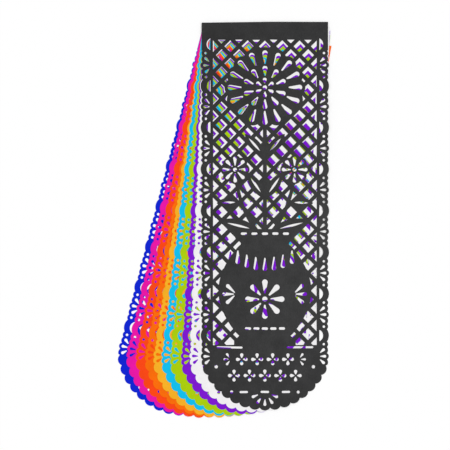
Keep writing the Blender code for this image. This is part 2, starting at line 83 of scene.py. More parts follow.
# Chords of the scallops down a long edge, by what is cut in them
FIRST_CRESCENT = 0.009  # below the header
DOT_CHORD = 0.0105
PETAL_CHORD = 0.012
CRESCENT_CHORD = 0.024

ARC_STEP = 0.0012  # between points along a round cut

chance = random.Random(31)  # the small slips of the hand, in the outline and in each cut


# An outline is a list of points, x from the sheet's centre line and y up from its top edge
def polar(centre, angle, radius):
    return (centre[0] + radius * math.cos(angle), centre[1] + radius * math.sin(angle))


def mirrored(points):
    return [(-x, y) for x, y in reversed(points)]


def arc(centre, radius, start, end):
    """Points on an arc, both ends included."""
    sides = max(2, math.ceil(abs(end - start) * radius / ARC_STEP))
    return [polar(centre, start + (end - start) * i / sides, radius) for i in range(sides + 1)]


def bow(start, end, rise):
    """An arc that stands out to the left of the way from start to end. The end itself is left out."""
    chord = math.dist(start, end)
    radius = (chord * chord / 4 + rise * rise) / (2 * rise)
    half_turn = math.asin(min(1.0, chord / 2 / radius))
    outward = math.atan2(end[0] - start[0], start[1] - end[1])
    middle = ((start[0] + end[0]) / 2, (start[1] + end[1]) / 2)
    centre = polar(middle, outward, rise - radius)
    return arc(centre, radius, outward + half_turn, outward - half_turn)[:-1]


def side_bumps():
    """The scallops down a long edge as (kind, top, bottom), fitted between the header and the foot."""
    unit = [
        ("dot", DOT_CHORD),
        ("upper", PETAL_CHORD),
        ("middle", PETAL_CHORD),
        ("lower", PETAL_CHORD),
        ("dot", DOT_CHORD),
        ("crescent", CRESCENT_CHORD),
    ]
    pitch = sum(chord for _, chord in unit)
    left_off = DOT_CHORD + CRESCENT_CHORD  # the last fan meets the foot
    y = -(HEADER_HEIGHT + FIRST_CRESCENT + CRESCENT_CHORD / 2)
    run = y - polar((0.0, FOOT_LEVEL), -FOOT_START, FOOT_RADIUS)[1]
    count = round((run + left_off) / pitch)
    stretch = run / (count * pitch - left_off)
    bumps = []
    for kind, chord in (unit * count)[:-2]:
        bumps.append((kind, y, y - chord * stretch))
        y -= chord * stretch
    return bumps


def outline(bumps):
    """The sheet's edge, clockwise from the header's left end. No two scallops are quite alike."""
    header = [(-HEADER_HALF_WIDTH, -HEADER_SLANT), (HEADER_CREST, 0.0)]
    header += [(HEADER_HALF_WIDTH, -HEADER_SLIP), (HEADER_HALF_WIDTH, bumps[0][1])]
    sides = []
    for _ in range(2):
        side = []
        for kind, top, bottom in bumps:
            rise = LARGE_RISE if kind in ("middle", "crescent") else SMALL_RISE
            rise *= chance.uniform(*RISE_SLIPS)
            side += bow((NOTCH_HALF_WIDTH, top), (NOTCH_HALF_WIDTH, bottom), rise)
        sides.append(side)
    sweep = (math.pi - 2 * FOOT_START) / FOOT_SCALLOPS
    centre = (0.0, FOOT_LEVEL)
    notches = [polar(centre, -FOOT_START - sweep * i, FOOT_RADIUS) for i in range(FOOT_SCALLOPS + 1)]
    foot = []
    for start, end in zip(notches, notches[1:]):
        foot += bow(start, end, FOOT_RISE)
    corner = (-HEADER_HALF_WIDTH, bumps[0][1])
    return header + sides[0] + foot + [notches[-1]] + mirrored(sides[1]) + [corner]


# Lace border: a band of small cuts all down each long side, a crescent in each long scallop and a dot
# or a petal of a fan in each short one. Each is one blow of a gouge or a round punch.

CRESCENT_INSET = 0.015  # from the notches to the crescents' straight side
CRESCENT_LENGTH = 0.0225
CRESCENT_WIDTH = 0.0074
BORDER_DOT_INSET = 0.006
BORDER_DOT_RADIUS = 0.0025
FAN_INSET = 0.0135
FAN_LENGTH = 0.0125
FAN_WIDTH = 0.0058
FAN_ANGLE = math.radians(42)
FAN_ROOT_SPREAD = 0.0064  # between the roots of a fan's petals
ROOT_WIDTH = 0.3  # share of a petal's width


def both_sides(shapes):
    return shapes + [mirrored(shape) for shape in shapes]


def dot(centre, radius):
    return arc(centre, radius, 0.0, math.tau)[:-1]


def petal(root, angle, length, width):
    """A drop with a narrow end at the root and a round far end."""
    far, near = width / 2, ROOT_WIDTH * width / 2
    turn = math.pi / 2 + math.asin((far - near) / (length - far - near))
    tip = arc(polar(root, angle, length - far), far, angle - turn, angle + turn)
    return tip + arc(polar(root, angle, near), near, angle + turn, angle + math.tau - turn)


def crescent(y):
    x = NOTCH_HALF_WIDTH - CRESCENT_INSET
    top, bottom = (x, y + CRESCENT_LENGTH / 2), (x, y - CRESCENT_LENGTH / 2)
    return bow(top, bottom, CRESCENT_WIDTH) + [bottom]


def border_cuts():
    lean = {"upper": 1, "middle": 0, "lower": -1}
    cuts = [crescent(-(HEADER_HEIGHT + FIRST_CRESCENT))]
    for kind, top, bottom in side_bumps():
        y = (top + bottom) / 2
        if kind == "crescent":
            cuts.append(crescent(y))
        elif kind == "dot":
            cuts.append(dot((NOTCH_HALF_WIDTH - BORDER_DOT_INSET, y), BORDER_DOT_RADIUS))
        else:
            away = lean[kind]
            root = (NOTCH_HALF_WIDTH - FAN_INSET, y + away * (FAN_ROOT_SPREAD - PETAL_CHORD))
            cuts.append(petal(root, away * FAN_ANGLE, FAN_LENGTH, FAN_WIDTH))
    return both_sides(cuts)


# Great flower and two small ones: round scalloped heads left standing in the lattice, with rings of
# petals chiselled out of them round an open eye. The stems end behind them.

PETAL_FILL = 0.36  # share of the room at its far end that a petal takes
BLOOM_DROP = 0.013  # from the header to the great flower's top
BLOOM_RADIUS = 0.080
BLOOM_SCALLOPS = 16
BLOOM_RIM = 0.0075  # outside its petals
BLOOM_WEB = 0.0035  # between its rings, and round its eye
BLOOM_EYE = 0.0042
BLOOM_RINGS = ((16, 0.46), (10, 0.34), (6, 0.20))  # how many petals, share of the depth
BUD_ACROSS = 0.058
BUD_DROP = 0.050  # from the great flower's lowest point to the small ones' tops
BUD_RADIUS = 0.030
BUD_SCALLOPS = 8
BUD_RIM = 0.0048
BUD_WEB = 0.0035
BUD_EYE = 0.0038
BUD_RINGS = ((8, 1.0),)
SCALLOP_DEPTH = 0.22  # share of a flower scallop's chord

BLOOM = (0.0, -(HEADER_HEIGHT + BLOOM_DROP + BLOOM_RADIUS))
BUD = (BUD_ACROSS, BLOOM[1] - BLOOM_RADIUS - BUD_DROP - BUD_RADIUS)


def row_of(count, spacing):
    """This many places, evenly spaced about nought."""
    return [(i - (count - 1) / 2) * spacing for i in range(count)]


def fan(centre, count, hub, radius, middle, spread):
    """Petals about a middle direction, this far apart, from the hub's edge out to the radius."""
    width = PETAL_FILL * spread * radius
    angles = [middle + place for place in row_of(count, spread)]
    return [petal(polar(centre, angle, hub), angle, radius - hub, width) for angle in angles]


def ring(centre, count, hub, radius):
    """Petals in a full circle, the first one straight up."""
    spread = math.tau / count
    return fan(centre, count, hub, radius, math.pi / 2 + spread * (count - 1) / 2, spread)


def flower(centre, radius, rings, web, eye):
    """Rings of petals, worked inwards, round an eye."""
    cuts = [dot(centre, eye)]
    depth = radius - eye - web * len(rings)
    for count, share in rings:
        cuts += ring(centre, count, radius - share * depth, radius)
        radius -= share * depth + web
    return cuts


def scalloped_disc(centre, radius, scallops):
    rise = SCALLOP_DEPTH * math.tau * radius / scallops
    notches = [polar(centre, -math.tau * (i + 0.5) / scallops, radius - rise) for i in range(scallops + 1)]
    points = []
    for start, end in zip(notches, notches[1:]):
        points += bow(start, end, rise)
    return points


# Flower pot: a round-bellied pot left standing at the foot of the lattice, its rim and base pierced with
# rows of slits, and its belly with a garland of drops, a rosette and two fans.

BORDER_WIDTH = 0.020  # from the notches to the inner field
FIELD_END = 0.004  # how far below the foot's centre the inner field ends
FIELD_HALF_WIDTH = NOTCH_HALF_WIDTH - BORDER_WIDTH
FIELD_BOTTOM = FOOT_LEVEL - FIELD_END
LATTICE_ROW = 0.017  # between the lattice's rows of cells
POT_HEIGHT = 0.226
RIM_HEIGHT = 0.018
RIM_HALF_WIDTH = 0.058
NECK_HEIGHT = 0.012
NECK_HALF_WIDTH = 0.047
BELLY_SWELL = 0.042
BELLY_FULLNESS = 0.85  # the smaller, the squarer the belly
BELLY_POINTS = 40
POT_FOOT_HEIGHT = 0.018
POT_FOOT_HALF_WIDTH = 0.050
POT_FOOT_SPREAD = 0.010
SLITS = 5
SLIT_LENGTH = 0.0120
SLIT_WIDTH = 0.0050
SLIT_MARGIN = 0.011  # from the ends of a row of slits to the pot's side
BASE_LINE = 0.014  # of the lower row of slits, above the pot's foot
DROPS = 7
DROP_MARGIN = 0.012  # from the belly's top to the outer drops
DROP_OUTREACH = 0.006  # how much further out than the neck the outer drops hang
DROP_SAG = 0.014  # how much lower the middle drop hangs
DROP_LENGTH = 0.026
DROP_WIDTH = 0.0092
POT_ROSETTE_MARGIN = 0.0165  # to the drops above it and the slits below it
POT_ROSETTE_WEB = 0.0058
POT_ROSETTE_EYE = 0.0052
POT_ROSETTE_RINGS = ((8, 1.0),)
POT_FAN_PETALS = 3
POT_FAN_RADIUS = 0.0265
POT_FAN_HUB = 0.004
POT_FAN_ANGLE = math.radians(44)
POT_FAN_MARGIN = 0.008  # to the widest part of the belly
POT_FAN_RISE = 0.010  # above the middle of the rosette

POT_TOP = FIELD_BOTTOM + POT_HEIGHT
BELLY_TOP = POT_TOP - RIM_HEIGHT - NECK_HEIGHT
BELLY_BOTTOM = FIELD_BOTTOM + POT_FOOT_HEIGHT


def slit(centre, length, width):
    """A level slit with round ends."""
    right = polar(centre, 0.0, (length - width) / 2)
    left = polar(centre, math.pi, (length - width) / 2)
    quarter = math.pi / 2
    return arc(right, width / 2, -quarter, quarter) + arc(left, width / 2, quarter, 3 * quarter)


def pot_outline():
    neck = POT_TOP - RIM_HEIGHT - NECK_HEIGHT / 2
    side = [(RIM_HALF_WIDTH, POT_TOP), (RIM_HALF_WIDTH, POT_TOP - RIM_HEIGHT), (NECK_HALF_WIDTH, neck)]
    for i in range(BELLY_POINTS + 1):
        t = i / BELLY_POINTS
        width = NECK_HALF_WIDTH + t * (POT_FOOT_HALF_WIDTH - NECK_HALF_WIDTH)
        width += BELLY_SWELL * max(math.sin(math.pi * t), 0.0) ** BELLY_FULLNESS
        side.append((width, BELLY_TOP + t * (BELLY_BOTTOM - BELLY_TOP)))
    spread = POT_FOOT_HALF_WIDTH + POT_FOOT_SPREAD
    side += [(spread, BELLY_BOTTOM - POT_FOOT_SPREAD), (spread, FIELD_BOTTOM - LATTICE_ROW)]
    return side + mirrored(side)


def pot_cuts():
    rim, base = POT_TOP - RIM_HEIGHT / 2, BELLY_BOTTOM + BASE_LINE
    cuts = []
    for y, half_width in ((rim, RIM_HALF_WIDTH), (base, POT_FOOT_HALF_WIDTH)):
        spacing = (2 * (half_width - SLIT_MARGIN) - SLIT_LENGTH) / (SLITS - 1)
        cuts += [slit((x, y), SLIT_LENGTH, SLIT_WIDTH) for x in row_of(SLITS, spacing)]
    reach = NECK_HALF_WIDTH + DROP_OUTREACH
    for x in row_of(DROPS, 2 * reach / (DROPS - 1)):
        y = BELLY_TOP - DROP_MARGIN - DROP_SAG * (1 - (x / reach) ** 2)
        cuts.append(petal((x, y), -math.pi / 2, DROP_LENGTH, DROP_WIDTH))
    top = BELLY_TOP - DROP_MARGIN - DROP_SAG - DROP_LENGTH
    bottom = base + SLIT_WIDTH / 2
    middle = (top + bottom) / 2
    radius = (top - bottom) / 2 - POT_ROSETTE_MARGIN
    cuts += flower((0.0, middle), radius, POT_ROSETTE_RINGS, POT_ROSETTE_WEB, POT_ROSETTE_EYE)
    widest = (NECK_HALF_WIDTH + POT_FOOT_HALF_WIDTH) / 2 + BELLY_SWELL
    hinge = (widest - POT_FAN_MARGIN - POT_FAN_RADIUS, middle + POT_FAN_RISE)
    return cuts + both_sides(fan(hinge, POT_FAN_PETALS, POT_FAN_HUB, POT_FAN_RADIUS, 0.0, POT_FAN_ANGLE))


# Stems and leaves: thin strips left standing from the pot's rim up to the flowers, and leaves off them,
# each slit along its vein. They stand in front of the lattice and behind pot and flowers.

STEM_HALF_WIDTH = 0.0038
SIDE_STEM_HALF_WIDTH = 0.0034
SIDE_STEM_FOOT = 0.010
SIDE_STEM_BEND = (0.052, 0.036)
STEM_STEPS = 24
VEIN_WIDTH = 0.0044
VEIN_START = 0.24  # shares of the leaf's length
VEIN_END = 0.80
# Root across, root height above the pot, angle, length, width
LEAVES = (
    (0.0, 0.142, math.radians(48), 0.058, 0.020),
    (0.0, 0.059, math.radians(56), 0.062, 0.021),
    (0.046, 0.052, math.radians(-2), 0.048, 0.020),
    (0.010, -0.004, math.radians(14), 0.082, 0.026),
)


def lens(start, end, width):
    """A leaf with a point at each end."""
    return bow(start, end, width / 2) + bow(end, start, width / 2)


def stalk(start, bend, end, half_width):
    """A curved strip from start to end, drawn towards bend on the way."""
    left, right = [], []
    for i in range(STEM_STEPS + 1):
        t = i / STEM_STEPS
        x, y = ((1 - t) ** 2 * a + 2 * t * (1 - t) * b + t**2 * c for a, b, c in zip(start, bend, end))
        dx, dy = ((1 - t) * (b - a) + t * (c - b) for a, b, c in zip(start, bend, end))
        scale = half_width / math.hypot(dx, dy)
        left.append((x - dy * scale, y + dx * scale))
        right.append((x + dy * scale, y - dx * scale))
    return right + left[::-1]


def on_leaf(leaf, share):
    across, height, angle, length, _ = leaf
    return polar((across, POT_TOP + height), angle, length * share)


def foliage():
    """What the lattice stops at, and the leaves' veins."""
    rim = POT_TOP - RIM_HEIGHT / 2
    bend = (SIDE_STEM_BEND[0], POT_TOP + SIDE_STEM_BEND[1])
    stem = stalk((0.0, rim), (0.0, (rim + BLOOM[1]) / 2), BLOOM, STEM_HALF_WIDTH)
    right = [stalk((SIDE_STEM_FOOT, rim), bend, BUD, SIDE_STEM_HALF_WIDTH)]
    right += [lens(on_leaf(leaf, 0), on_leaf(leaf, 1), leaf[4]) for leaf in LEAVES]
    veins = [lens(on_leaf(leaf, VEIN_START), on_leaf(leaf, VEIN_END), VEIN_WIDTH) for leaf in LEAVES]
    return [stem] + both_sides(right), both_sides(veins)


# Lattice: the ground of the inner field, diamonds chiselled out one by one so that thin bars cross
# between them. It stops at the field's edges and at whatever stands in front of it.

LATTICE_COLUMNS = 6  # half cells from the centre line to the field's edge
LATTICE_PHASE = 0.0128  # from the header to the centres of the first whole row
LATTICE_OPEN = 0.68  # share of a cell's diagonals that is cut out
LATTICE_SCRAP = 0.07  # what is left of a cell stays paper below this share of a whole one
HALF_COLUMN = FIELD_HALF_WIDTH / LATTICE_COLUMNS
SCRAP_AREA = LATTICE_SCRAP * 2 * HALF_COLUMN * LATTICE_ROW * LATTICE_OPEN**2


def clipped(points, axis, limit, side):
    """The part of a convex outline whose coordinate doesn't pass the limit, on this side of it."""
    kept = []
    for a, b in zip(points, points[1:] + points[:1]):
        room_a, room_b = side * (limit - a[axis]), side * (limit - b[axis])
        if room_a >= 0:
            kept.append(a)
        if room_a * room_b < 0:
            t = room_a / (room_a - room_b)
            kept.append((a[0] + t * (b[0] - a[0]), a[1] + t * (b[1] - a[1])))
    return kept


def lattice_cells():
    dx, dy = HALF_COLUMN * LATTICE_OPEN, LATTICE_ROW * LATTICE_OPEN
    first = -(HEADER_HEIGHT + LATTICE_PHASE)
    edges = (
        (0, FIELD_HALF_WIDTH, 1),
        (0, -FIELD_HALF_WIDTH, -1),
        (1, -HEADER_HEIGHT, 1),
        (1, FIELD_BOTTOM, -1),
    )
    cells = []
    for row in range(-1, math.ceil((first - FIELD_BOTTOM) / LATTICE_ROW) + 1):
        y = first - row * LATTICE_ROW
        for column in range(-LATTICE_COLUMNS, LATTICE_COLUMNS + 1):
            if (row + column) % 2:
                continue
            x = column * HALF_COLUMN
            cell = [(x + dx, y), (x, y + dy), (x - dx, y), (x, y - dy)]
            for axis, limit, side in edges:
                cell = clipped(cell, axis, limit, side)
            if len(cell) > 2:
                cells.append(cell)
    return cells


# Foot: below the lattice the paper stays nearly whole, with two rows of rosettes, a long slit at each
# side of them, sprays, dots, a line of dashes and a small sunburst over the lowest scallop.

FOOT_SLIT_DROP = 0.0085  # below the foot's centre
FOOT_SLIT_INNER = 0.043
FOOT_SLIT_MARGIN = 0.007  # inside the field's edge
FOOT_SLIT_WIDTH = 0.004
SPRAY_INSET = 0.055  # from the notches
SPRAY_PETALS = 3
SPRAY_RADIUS = 0.0145
SPRAY_HUB = 0.0045
SPRAY_ANGLE = math.radians(52)
ROSETTE_ROWS = (4, 5)
ROSETTE_PETALS = 4
ROSETTE_CLEARANCE = 0.006  # from the first row's room to the sprays' middles
ROSETTE_FILL = 0.39  # a rosette's radius as a share of the spacing
ROSETTE_HUB = 0.0022
OUTER_DOT_ANGLE = math.radians(26.2)  # below the horizontal
OUTER_DOT_INSET = 0.021  # from the foot's notches
OUTER_DOT_RADIUS = 0.0033
DASH_RISE = 0.0365  # above the foot's lowest point
DASHES = 3
DASH_SPACING = 0.041
DASH_LENGTH = 0.0165
DASH_WIDTH = 0.0043
DASH_DOT_GAP = 0.0157  # from the end of the last dash
DASH_DOT_RADIUS = 0.0030
SUN_PETALS = 5
SUN_RADIUS = 0.0275
SUN_HUB = 0.0140
SUN_ANGLE = math.radians(34)


def foot_cuts():
    depth = FOOT_RADIUS + FOOT_RISE
    spray = NOTCH_HALF_WIDTH - SPRAY_INSET
    spacing = 2 * (spray - ROSETTE_CLEARANCE) / ROSETTE_ROWS[0]
    row_gap = (depth - DASH_RISE) / (len(ROSETTE_ROWS) + 1)
    cuts = []
    for row, count in enumerate(ROSETTE_ROWS, 1):
        for x in row_of(count, spacing):
            middle = (x, FOOT_LEVEL - row * row_gap)
            cuts += ring(middle, ROSETTE_PETALS, ROSETTE_HUB, ROSETTE_FILL * spacing)
    dash = DASH_RISE - SHEET_LENGTH
    cuts += [slit((x, dash), DASH_LENGTH, DASH_WIDTH) for x in row_of(DASHES, DASH_SPACING)]
    cuts += fan((0.0, dash), SUN_PETALS, SUN_HUB, SUN_RADIUS, -math.pi / 2, SUN_ANGLE)

    right = fan((spray, FOOT_LEVEL - row_gap), SPRAY_PETALS, SPRAY_HUB, SPRAY_RADIUS, 0.0, SPRAY_ANGLE)
    outer_dot = polar((0.0, FOOT_LEVEL), -OUTER_DOT_ANGLE, FOOT_RADIUS - OUTER_DOT_INSET)
    right.append(dot(outer_dot, OUTER_DOT_RADIUS))
    last_dash = row_of(DASHES, DASH_SPACING)[-1]
    right.append(dot((last_dash + DASH_LENGTH / 2 + DASH_DOT_GAP, dash), DASH_DOT_RADIUS))
    outer = FIELD_HALF_WIDTH - FOOT_SLIT_MARGIN
    middle = ((FOOT_SLIT_INNER + outer) / 2, FOOT_LEVEL - FOOT_SLIT_DROP)
    right.append(slit(middle, outer - FOOT_SLIT_INNER, FOOT_SLIT_WIDTH))
    return cuts + both_sides(right)


# Cutting: the ten blanks are pinned in one stack and cut through together with hammer and chisels, so
# every sheet has the same pattern, and the same small slips of the hand. Scraps too small to be worth a
# blow stay paper.

SLIP = 0.00025  # the most that a cut is off its place
SLIP_TURN = math.radians(1.0)
SLIP_SIZE = 0.02
SMALLEST_CUT = 0.0022  # the side of a square as large
CUT_STEP = 0.006  # between points along a straight cut
GRAIN = 0.007  # between the points inside the paper, for it to bend at
NEARNESS = 1.0e-6  # within which a point is taken to lie on a cut
WELD = 0.00001  # within which two points become one
OFF = -2  # outside the sheet
WHOLE = -1  # left as paper


def by_hand(shapes):
    """The shapes as the chisel cut them, each a little off its place, turn and size."""
    cut = []
    for shape in shapes:
        turn = chance.uniform(-SLIP_TURN, SLIP_TURN)
        size = 1 + chance.uniform(-SLIP_SIZE, SLIP_SIZE)
        slip_x, slip_y = chance.uniform(-SLIP, SLIP), chance.uniform(-SLIP, SLIP)
        middle_x = sum(x for x, _ in shape) / len(shape)
        middle_y = sum(y for _, y in shape) / len(shape)
        cos, sin = size * math.cos(turn), size * math.sin(turn)
        cut.append([
            (
                middle_x + slip_x + cos * (x - middle_x) - sin * (y - middle_y),
                middle_y + slip_y + sin * (x - middle_x) + cos * (y - middle_y),
            )
            for x, y in shape
        ])
    return cut


def stepped(shape):
    """The same outline with points along its straight cuts too."""
    points = []
    for a, b in zip(shape, shape[1:] + shape[:1]):
        steps = max(1, math.ceil(math.dist(a, b) / CUT_STEP))
        dx, dy = b[0] - a[0], b[1] - a[1]
        points += [(a[0] + dx * i / steps, a[1] + dy * i / steps) for i in range(steps)]
    return points


def inside(points, shape):
    """Which of the points lie inside the outline."""
    corners = np.array(shape)
    near = np.flatnonzero(np.all((points > corners.min(0)) & (points < corners.max(0)), axis=1))
    x, y = points[near, 0, None], points[near, 1, None]
    ax, ay = corners.T
    bx, by = np.roll(corners, -1, axis=0).T
    crossed = (ay > y) != (by > y)
    rise = np.where(by == ay, 1.0, by - ay)
    right_of = x < ax + (y - ay) * (bx - ax) / rise
    return near[np.sum(crossed & right_of, axis=1) % 2 == 1]


def pattern_layers():
    """From front to back: what stays paper, its cuts, and the smallest piece that is cut out of it."""
    stems_and_leaves, veins = foliage()
    bloom_cuts = flower(BLOOM, BLOOM_RADIUS - BLOOM_RIM, BLOOM_RINGS, BLOOM_WEB, BLOOM_EYE)
    bud_cuts = flower(BUD, BUD_RADIUS - BUD_RIM, BUD_RINGS, BUD_WEB, BUD_EYE)
    smallest = SMALLEST_CUT**2
    return (
        ([], border_cuts() + foot_cuts(), smallest),
        ([pot_outline()], pot_cuts(), smallest),
        ([scalloped_disc(BLOOM, BLOOM_RADIUS, BLOOM_SCALLOPS)], bloom_cuts, smallest),
        (both_sides([scalloped_disc(BUD, BUD_RADIUS, BUD_SCALLOPS)]), both_sides(bud_cuts), smallest),
        (stems_and_leaves, veins, smallest),
        ([], lattice_cells(), SCRAP_AREA),
    )


def welded(points, triangles):
    """The triangles with points that all but coincide made one, less those that this closes up."""
    cells = np.round(points / WELD).astype(int)
    _, first, place = np.unique(cells, axis=0, return_index=True, return_inverse=True)
    triangles = place.reshape(-1)[triangles]
    return points[first], triangles[np.all(triangles != np.roll(triangles, 1, axis=1), axis=1)]


def arrangement(layers):
    """Triangles that follow every outline, and the layer whose cut opens each: OFF for outside the
    sheet, WHOLE where it stays paper."""
    shapes = [(outline(side_bumps()), OFF)]
    for layer, (standing, cuts, _) in enumerate(layers):
        shapes += [(shape, WHOLE) for shape in standing]
        shapes += [(shape, layer) for shape in by_hand(cuts)]
    points, edges = [], []
    for shape, _ in shapes:
        first = len(points)
        points += stepped(shape)
        edges += [(i, i + 1) for i in range(first, len(points) - 1)] + [(len(points) - 1, first)]
    for row in range(1, math.floor(SHEET_LENGTH / GRAIN)):
        reach = math.floor(HEADER_HALF_WIDTH / GRAIN)
        for column in range(-reach, reach + 1):
            points.append(((column + 0.5 * (row % 2)) * GRAIN, -row * GRAIN))
    laid = delaunay_2d_cdt([Vector(point) for point in points], edges, [], 0, NEARNESS, False)
    points, triangles = welded(np.array([point[:] for point in laid[0]]), np.array(laid[2]))
    middles = points[triangles].mean(axis=1)
    opened = np.full(len(triangles), OFF)
    opened[inside(middles, shapes[0][0])] = WHOLE
    # From the front layer back, a cut opens only what nothing in front of it keeps
    front = np.full(len(triangles), False)
    for layer, (standing, _, _) in enumerate(layers):
        for shape, kind in shapes:
            if kind == layer:
                found = inside(middles, shape)
                opened[found[~front[found] & (opened[found] == WHOLE)]] = layer
        for shape in standing:
            front[inside(middles, shape)] = True
    return points, triangles, opened


def cut_sheet():
    """The flat sheet after cutting: its points, its triangles, the edges of its cuts, and its area."""
    layers = pattern_layers()
    points, triangles, opened = arrangement(layers)
    corners = points[triangles]
    side_a, side_b = corners[:, 1] - corners[:, 0], corners[:, 2] - corners[:, 0]
    areas = np.abs(side_a[:, 0] * side_b[:, 1] - side_a[:, 1] * side_b[:, 0]) / 2
    edges = np.sort(triangles[:, [[0, 1], [1, 2], [2, 0]]].reshape(-1, 2), axis=1).tolist()
    sharing = {}
    for place, edge in enumerate(edges):
        sharing.setdefault(tuple(edge), []).append(place // 3)
    # Waste is gathered piece by piece, and a piece that is too small stays paper
    waiting = set(np.flatnonzero(opened >= 0).tolist())
    while waiting:
        piece = [waiting.pop()]
        layer = opened[piece[0]]
        for i in piece:
            for edge in edges[3 * i:3 * i + 3]:
                for j in sharing[tuple(edge)]:
                    if j in waiting and opened[j] == layer:
                        waiting.remove(j)
                        piece.append(j)
        if areas[piece].sum() < layers[layer][2]:
            opened[piece] = WHOLE
    used, kept = np.unique(triangles[opened == WHOLE], return_inverse=True)
    kept = kept.reshape(-1, 3)
    ways = {tuple(edge) for edge in kept[:, [[0, 1], [1, 2], [2, 0]]].reshape(-1, 2).tolist()}
    rim = sorted(edge for edge in ways if edge[::-1] not in ways)
    return points[used], kept, np.array(rim), areas[opened == WHOLE].sum()


flat_points, flat_triangles, rim_edges, cut_area = cut_sheet()


# Laying: the sheets lie loosely on each other, fanned about the header's left end. Each one settles on
# those below it, stays a hair off them, waves a little, and lifts slightly along its scalloped edges.

PAPER_THICKNESS = 0.0001
PIVOT_FROM_SIDE = 0.010
PIVOT = (PIVOT_FROM_SIDE - HEADER_HALF_WIDTH, -HEADER_HEIGHT / 2)
GRID = 0.003  # between the points of the table at which heights are worked out
GRID_MARGIN = 0.03  # round the pack
BRIDGE = 3  # grid steps over which a sheet comes down beside the edge of the one below
CLEARANCE = 0.00006  # the least gap between two sheets
WAVE = 0.00012  # the most that the waves lift a sheet
WAVES = 5
WAVE_LENGTHS = (0.09, 0.32)  # shortest and longest
LIFT = 0.0002  # the most that an edge lifts at the notches
LIFT_WIDTH = 0.022  # from the notches in to where the lift begins
LIFT_END = 1.4  # in these widths, from there out to where it grows no more
LIFT_RIPPLES = (0.05, 0.09)  # shortest and longest, along the edge
LIFT_SWELLS = (0.16, 0.3)
HEADER_CALM = 0.1  # from the top edge down to where the lift is whole
# Name, clockwise turn in degrees, slide across and up, from the table up
FAN = (
    ("blue", 14.6, (0.0001, -0.0020)),
    ("magenta", 13.1, (0.0, -0.0027)),
    ("vermilion", 11.7, (0.0024, -0.0042)),
    ("orange", 10.55, (0.0077, -0.0032)),
    ("amber", 8.55, (0.0018, -0.0039)),
    ("cyan", 7.05, (0.0009, -0.0020)),
    ("lime", 5.8, (0.0038, -0.0023)),
    ("purple", 3.85, (0.0036, -0.0012)),
    ("white", 2.3, (0.0030, 0.0001)),
    ("black", 0.0, (0.0, 0.0)),
)

table_x = np.arange(cad_box[0].x - GRID_MARGIN, cad_box[1].x + GRID_MARGIN, GRID)
table_y = np.arange(cad_box[0].y - GRID_MARGIN, cad_box[1].y + GRID_MARGIN, GRID)
grid_x, grid_y = np.meshgrid(table_x, table_y, indexing="ij")


def shifted(heights, steps, axis):
    """The heights moved along an axis by each number of grid steps up to this many, both ways."""
    margin = [(steps, steps) if i == axis else (0, 0) for i in (0, 1)]
    padded = np.pad(heights, margin, mode="edge")
    size = heights.shape[axis]
    return [padded.take(range(i, i + size), axis) for i in range(2 * steps + 1)]


def widened(heights, steps):
    """Each point takes the greatest height within this many grid steps of it."""
    for axis in (0, 1):
        heights = np.max(shifted(heights, steps, axis), axis=0)
    return heights


def eased(heights, steps):
    """Each point takes the mean height within this many grid steps, the near ones counting more."""
    weights = np.hanning(2 * steps + 3)[1:-1]
    weights = weights / weights.sum()
    for axis in (0, 1):
        heights = sum(w * near for w, near in zip(weights, shifted(heights, steps, axis)))
    return heights


def in_sheet(x, y, turn, slide):
    """Points of the table as a sheet's own x and y, measured from its centre line and top edge."""
    cos, sin = math.cos(turn), math.sin(turn)
    x, y = x - slide[0], y - slide[1]
    return cos * x - sin * y + PIVOT[0], sin * x + cos * y + PIVOT[1]


def edge_distance(x, y):
    """How far inside the sheet's edge a point lies. x and y are in the sheet's frame."""
    side = NOTCH_HALF_WIDTH - np.abs(x)
    foot = FOOT_RADIUS - np.hypot(x, y - FOOT_LEVEL)
    return np.where(y > FOOT_LEVEL, np.minimum(side, -y), foot)


def settled():
    """The height of each sheet's underside over the whole table, from the lowest sheet up."""
    rng = np.random.default_rng(12)
    surface = np.zeros_like(grid_x)
    heights = []
    for _, degrees, slide in FAN:
        turn = math.radians(degrees)
        x, y = in_sheet(grid_x, grid_y, turn, slide)
        wave = np.zeros_like(x)
        for _ in range(WAVES):
            way, length = rng.uniform(0, math.pi), rng.uniform(*WAVE_LENGTHS)
            start = rng.uniform(0, math.tau)
            wave += np.sin((x * math.cos(way) + y * math.sin(way)) * math.tau / length + start)
        wave = WAVE * (0.5 + 0.5 * wave / WAVES) ** 2
        inside_by = edge_distance(x, y)
        ripple = 1.0
        for lengths in (LIFT_RIPPLES, LIFT_SWELLS):
            ripple *= 0.5 + 0.5 * np.sin(y * math.tau / rng.uniform(*lengths) + rng.uniform(0, math.tau))
        rise = np.clip(1 - inside_by / LIFT_WIDTH, 0, LIFT_END) ** 2
        lift = LIFT * rise * ripple * np.clip(-y / HEADER_CALM, 0, 1)
        height = eased(widened(surface, BRIDGE), BRIDGE) + CLEARANCE + wave + lift
        heights.append(height)
        on_sheet = inside_by > -2 * GRID  # a scallop's rise and a little more
        surface = np.where(on_sheet, np.maximum(surface, height + PAPER_THICKNESS), surface)
    return heights


def sampled(heights, x, y):
    """The height at each point, between the grid's own."""
    u, v = (x - table_x[0]) / GRID, (y - table_y[0]) / GRID
    i, j = np.floor(u).astype(int), np.floor(v).astype(int)
    u, v = u - i, v - j
    low = heights[i, j] * (1 - v) + heights[i, j + 1] * v
    high = heights[i + 1, j] * (1 - v) + heights[i + 1, j + 1] * v
    return low * (1 - u) + high * u


# Paper: craft paper dyed through, matt, faintly cloudy where its fibres lie thicker, with short fibres
# along the grain and a few that took no dye. A chisel leaves the edge a little paler. A painted sheen
# lightens the middle of the top sheet, fading out towards its header and edges.

ROUGHNESS = 0.86
ROUGHNESS_SPREAD = 0.25
SPECULAR = 0.08
